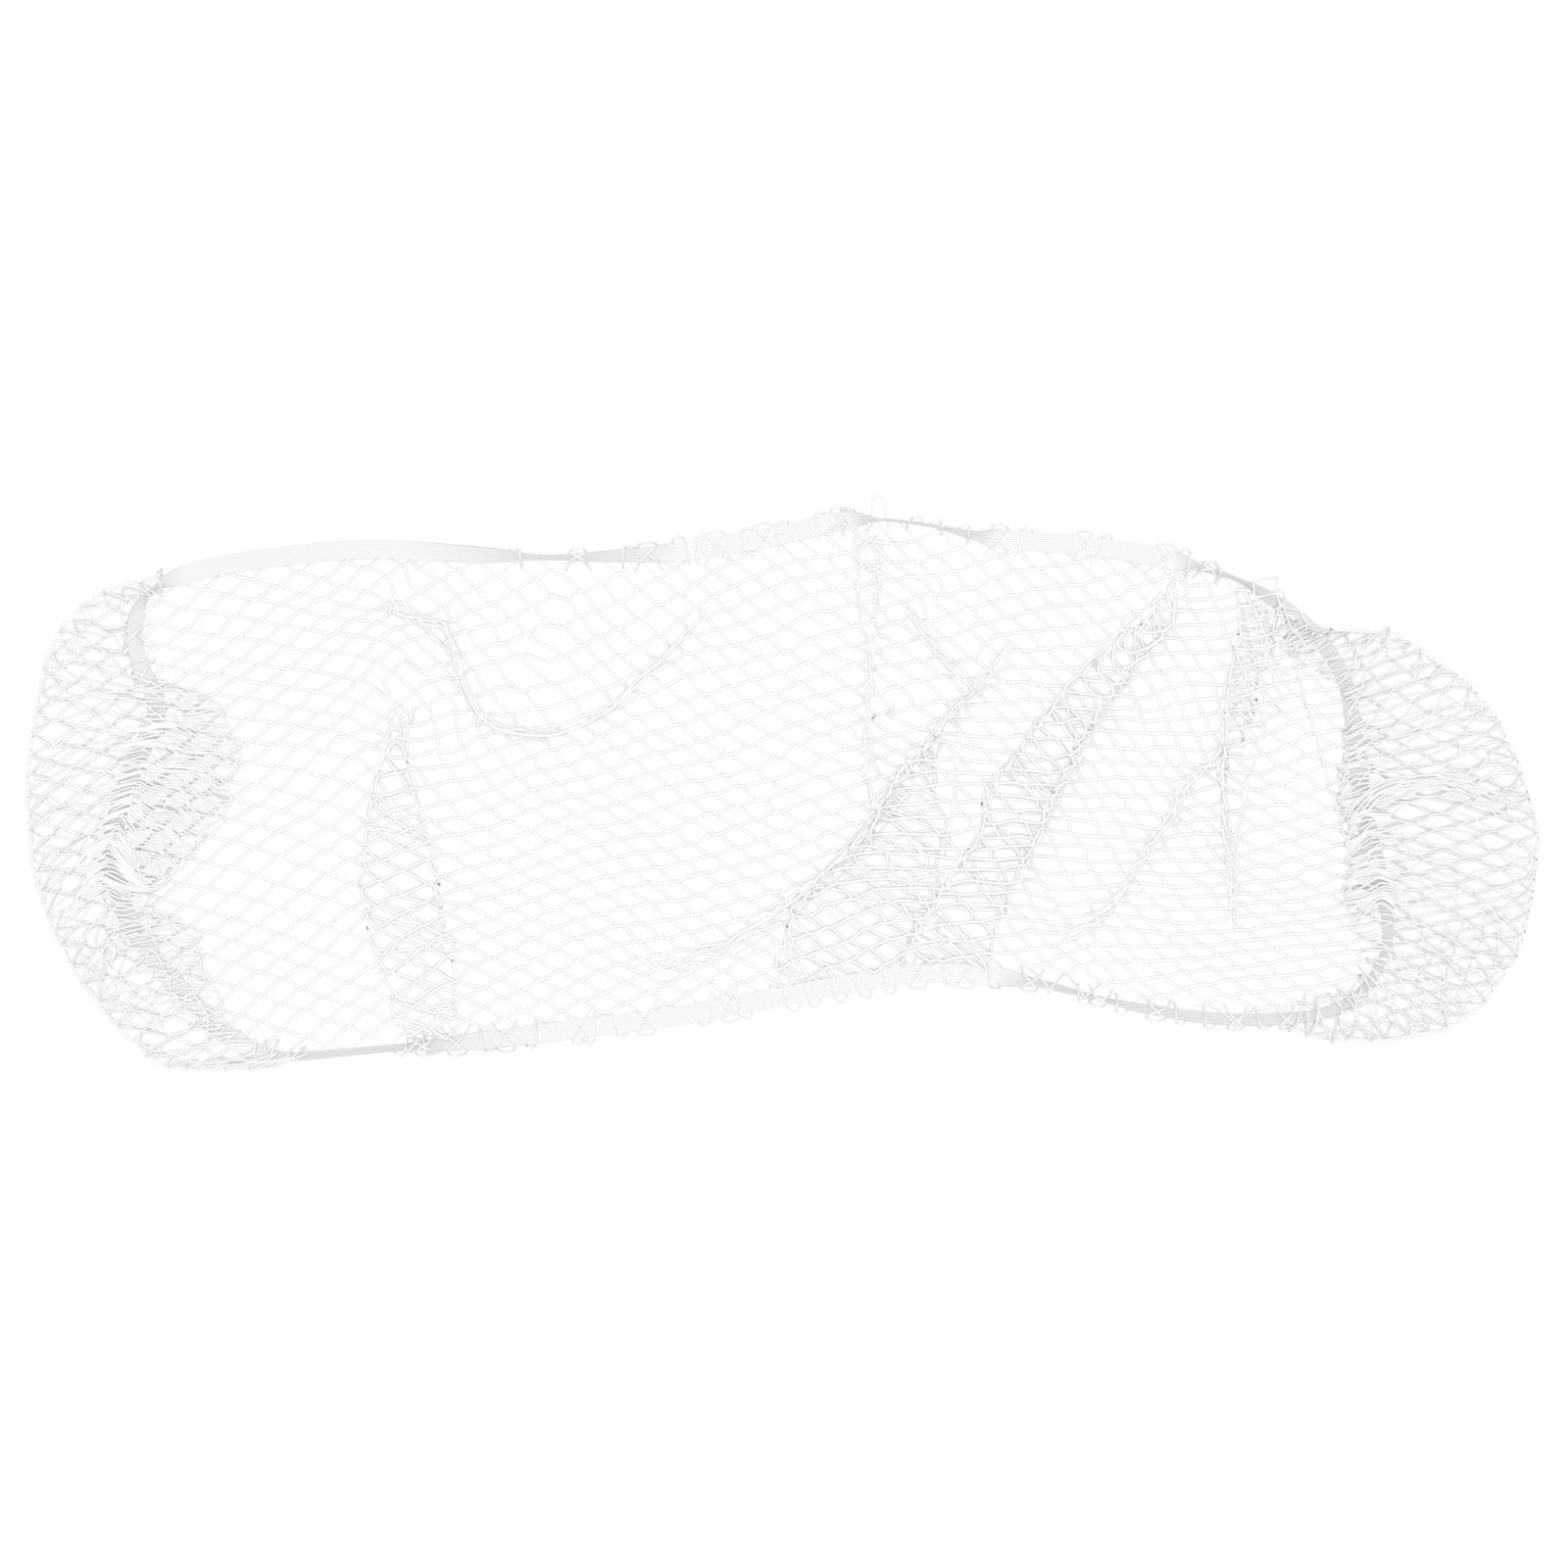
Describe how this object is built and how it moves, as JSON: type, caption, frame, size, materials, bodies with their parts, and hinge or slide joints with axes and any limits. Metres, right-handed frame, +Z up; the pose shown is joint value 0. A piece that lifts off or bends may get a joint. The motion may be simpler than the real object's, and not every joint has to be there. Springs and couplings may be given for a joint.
{
  "type": "roundnet netting",
  "caption": "Diamond-mesh netting with an elastic rim, relaxed and lying flat, with a puffed pocket and pleats at each end.",
  "frame": {"origin": "on the surface that the netting lies on, under the middle of its box", "axes": "+X along the long side, from the narrow pocket to the wide one; +Y to the far side; +Z up"},
  "size_m": [1.2834, 0.4864, 0.044],
  "materials": {
    "netting": "white knotless polyester twine, braided",
    "elastic": "white flat ribbed elastic, braided over rubber cores",
    "thread": "white sewing thread"
  },
  "bodies": {
    "root": {"netting_base": "netting", "pocket_left": "netting", "pocket_right": "netting", "gather_left": "netting", "gather_right": "netting", "fold_left_wedge": "netting", "fold_middle_spread": "netting", "fold_long_diagonal": "netting", "fold_left_swag": "netting", "fold_centre_pleat": "netting", "fold_lower_sweep": "netting", "fold_right_ridge": "netting", "fold_right_wedge": "netting", "border_crossings": "netting", "border_loops": "netting", "pull_loop": "netting", "elastic_top": "elastic", "elastic_right": "elastic", "elastic_bottom": "elastic", "elastic_left": "elastic", "splice_lap": "elastic", "splice_stitches": "thread"}
  },
  "joints": []
}
